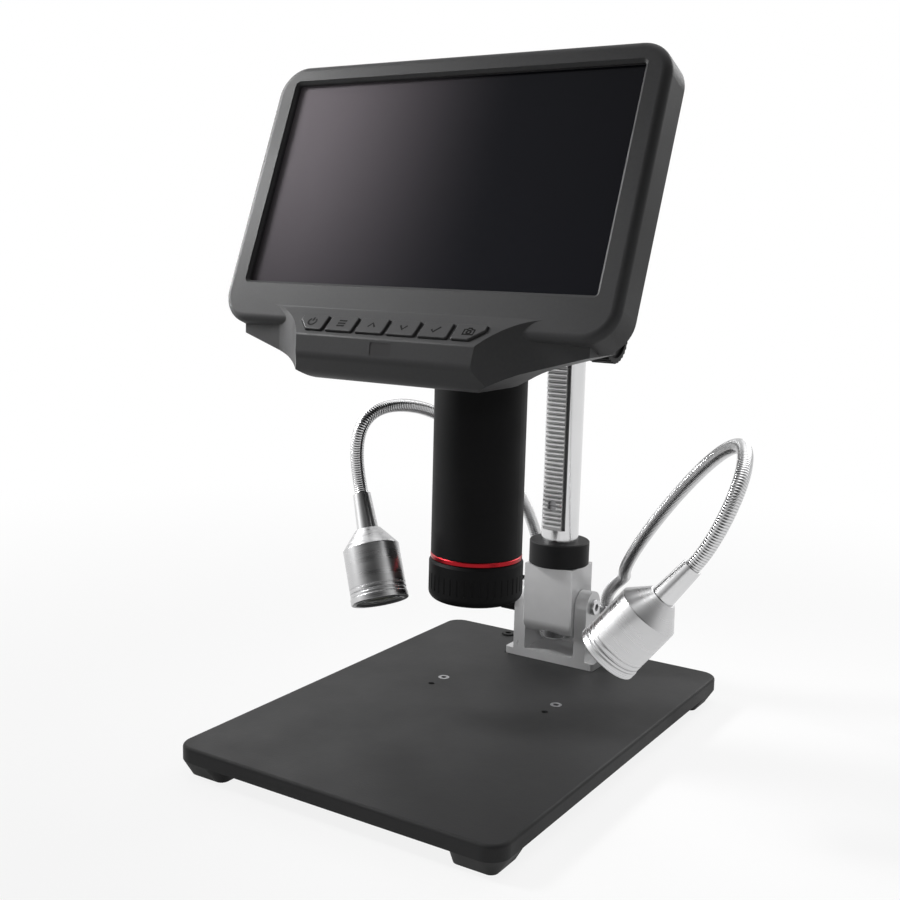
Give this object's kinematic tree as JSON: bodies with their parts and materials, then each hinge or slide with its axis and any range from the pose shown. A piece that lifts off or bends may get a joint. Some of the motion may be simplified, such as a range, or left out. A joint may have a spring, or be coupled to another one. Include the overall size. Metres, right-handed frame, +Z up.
{
  "type": "lcd digital microscope",
  "caption": "Digital microscope with a leaning built-in screen over a vertical barrel, on a rack column and a flat base, with gooseneck lamps beside it.",
  "frame": {"origin": "on the stage face of the base, straight under the lens", "axes": "+Z up along the barrel, +Y towards the column at the back, +X to the user's right"},
  "size_m": [0.2099, 0.21, 0.2839],
  "materials": {
    "base_steel": "powder-coated, satin",
    "foot_rubber": "matt",
    "zinc_steel": "plated",
    "bracket_alu": "bead-blasted, satin",
    "knob_plastic": "fine grain",
    "collar_plastic": "matt",
    "column_steel": "ground and polished",
    "rack_steel": "milled",
    "carriage_black": "black anodised",
    "pinion_steel": "turned",
    "brass_pad": "turned",
    "barrel_black": "fine matt black",
    "band_red": "red anodised",
    "optic_black": "matt black anodised",
    "lens_clear": "polished",
    "housing_abs": "spark-eroded texture",
    "key_abs": "satin",
    "lcd_glass": "dark glossy panel",
    "tray_light": "light-guide stack in a tin frame",
    "board_green": "solder mask",
    "ir_dark": "dark translucent",
    "goose_chrome": "ribbed, plated",
    "lamp_alu": "turned, satin",
    "lamp_clear": "moulded clear",
    "led_white": "board with diode",
    "grommet_rubber": "matt"
  },
  "bodies": {
    "base": {"base_plate": "base_steel", "corner_feet": "foot_rubber", "foot_screws": "zinc_steel", "clip_inserts": "zinc_steel", "cord_grommet": "grommet_rubber", "stand_bracket": "bracket_alu", "bracket_screws": "zinc_steel", "lamp_grub_screws": "zinc_steel", "tilt_bolt": "zinc_steel"},
    "tilt_knob": {"tilt_knob": "knob_plastic"},
    "post": {"post_block": "bracket_alu", "column_collar": "collar_plastic", "column": "column_steel", "rack": "rack_steel", "rack_screws": "zinc_steel"},
    "head": {"carriage_body": "carriage_black", "lock_pad": "brass_pad", "holder": "carriage_black", "arm_screws": "zinc_steel", "pinch_screw": "knob_plastic", "barrel": "barrel_black", "red_band": "band_red", "nose_ring": "optic_black", "flange_screws": "zinc_steel", "sensor_board": "board_green", "front_shell": "housing_abs", "rear_shell": "housing_abs", "shell_screws": "zinc_steel", "lcd_panel": "lcd_glass", "lcd_tray": "tray_light", "main_board": "board_green", "key_board": "board_green", "ir_window": "ir_dark"},
    "lock_knob": {"lock_knob": "knob_plastic"},
    "pinion": {"pinion_shaft": "pinion_steel", "coarse_knob_left": "knob_plastic", "coarse_knob_right": "knob_plastic"},
    "focus": {"focus_ring": "barrel_black"},
    "lens": {"lens_cell": "optic_black", "lens_glass": "lens_clear"},
    "key_power": {"key_power": "key_abs"},
    "key_menu": {"key_menu": "key_abs"},
    "key_up": {"key_up": "key_abs"},
    "key_down": {"key_down": "key_abs"},
    "key_ok": {"key_ok": "key_abs"},
    "key_shot": {"key_shot": "key_abs"},
    "arm_left": {"lamp_root_left": "lamp_alu", "gooseneck_left": "goose_chrome", "lamp_sleeve_left": "lamp_alu", "lamp_head_left": "lamp_alu", "lamp_bezel_left": "lamp_alu", "lamp_lens_left": "lamp_clear", "lamp_board_left": "led_white"},
    "arm_right": {"lamp_root_right": "lamp_alu", "gooseneck_right": "goose_chrome", "lamp_sleeve_right": "lamp_alu", "lamp_head_right": "lamp_alu", "lamp_bezel_right": "lamp_alu", "lamp_lens_right": "lamp_clear", "lamp_board_right": "led_white"}
  },
  "joints": [
    {"name": "stand_tilt", "type": "hinge", "parent": "base", "child": "post", "pos_m": [0, 0.0785, 0.0295], "axis": [1, 0, 0], "range_deg": [-25, 8]},
    {"name": "tilt_knob_turn", "type": "hinge", "parent": "base", "child": "tilt_knob", "pos_m": [-0.0195, 0.0785, 0.0295], "axis": [-1, 0, 0], "range_deg": [0, 180]},
    {"name": "carriage_slide", "type": "slide", "parent": "post", "child": "head", "axis": [0, 0, 1], "range_m": [-0.03, 0.055]},
    {"name": "pinion_spin", "type": "hinge", "parent": "head", "child": "pinion", "pos_m": [0, 0.0637, 0.161], "axis": [1, 0, 0], "range_deg": [-565, 309]},
    {"name": "lock_knob_turn", "type": "hinge", "parent": "head", "child": "lock_knob", "pos_m": [0, 0.093, 0.172], "axis": [0, 1, 0], "range_deg": [-180, 0]},
    {"name": "focus_turn", "type": "hinge", "parent": "head", "child": "focus", "pos_m": [0, 0, 0.058], "axis": [0, 0, 1], "range_deg": [0, 180]},
    {"name": "lens_slide", "type": "slide", "parent": "head", "child": "lens", "axis": [0, 0, 1], "range_m": [-0.0001, 0.0041]},
    {"name": "key_power_press", "type": "slide", "parent": "head", "child": "key_power", "axis": [0, 0.6429, -0.766], "range_m": [0, 0.0005], "stiffness_N_per_m": 600},
    {"name": "key_menu_press", "type": "slide", "parent": "head", "child": "key_menu", "axis": [0, 0.6429, -0.766], "range_m": [0, 0.0005], "stiffness_N_per_m": 600},
    {"name": "key_up_press", "type": "slide", "parent": "head", "child": "key_up", "axis": [0, 0.6429, -0.766], "range_m": [0, 0.0005], "stiffness_N_per_m": 600},
    {"name": "key_down_press", "type": "slide", "parent": "head", "child": "key_down", "axis": [0, 0.6429, -0.766], "range_m": [0, 0.0005], "stiffness_N_per_m": 600},
    {"name": "key_ok_press", "type": "slide", "parent": "head", "child": "key_ok", "axis": [0, 0.6429, -0.766], "range_m": [0, 0.0005], "stiffness_N_per_m": 600},
    {"name": "key_shot_press", "type": "slide", "parent": "head", "child": "key_shot", "axis": [0, 0.6429, -0.766], "range_m": [0, 0.0005], "stiffness_N_per_m": 600},
    {"name": "arm_swivel_left", "type": "hinge", "parent": "base", "child": "arm_left", "pos_m": [-0.018, 0.09675, 0.018], "axis": [0, 0, 1], "range_deg": [-60, 0]},
    {"name": "arm_swivel_right", "type": "hinge", "parent": "base", "child": "arm_right", "pos_m": [0.018, 0.09675, 0.018], "axis": [0, 0, 1], "range_deg": [-10, 60]}
  ],
  "couplings": [
    {"joint": "pinion_spin", "follows": "carriage_slide", "rad_per_m": -178.57},
    {"joint": "lens_slide", "follows": "focus_turn", "m_per_rad": 0.0012732}
  ]
}
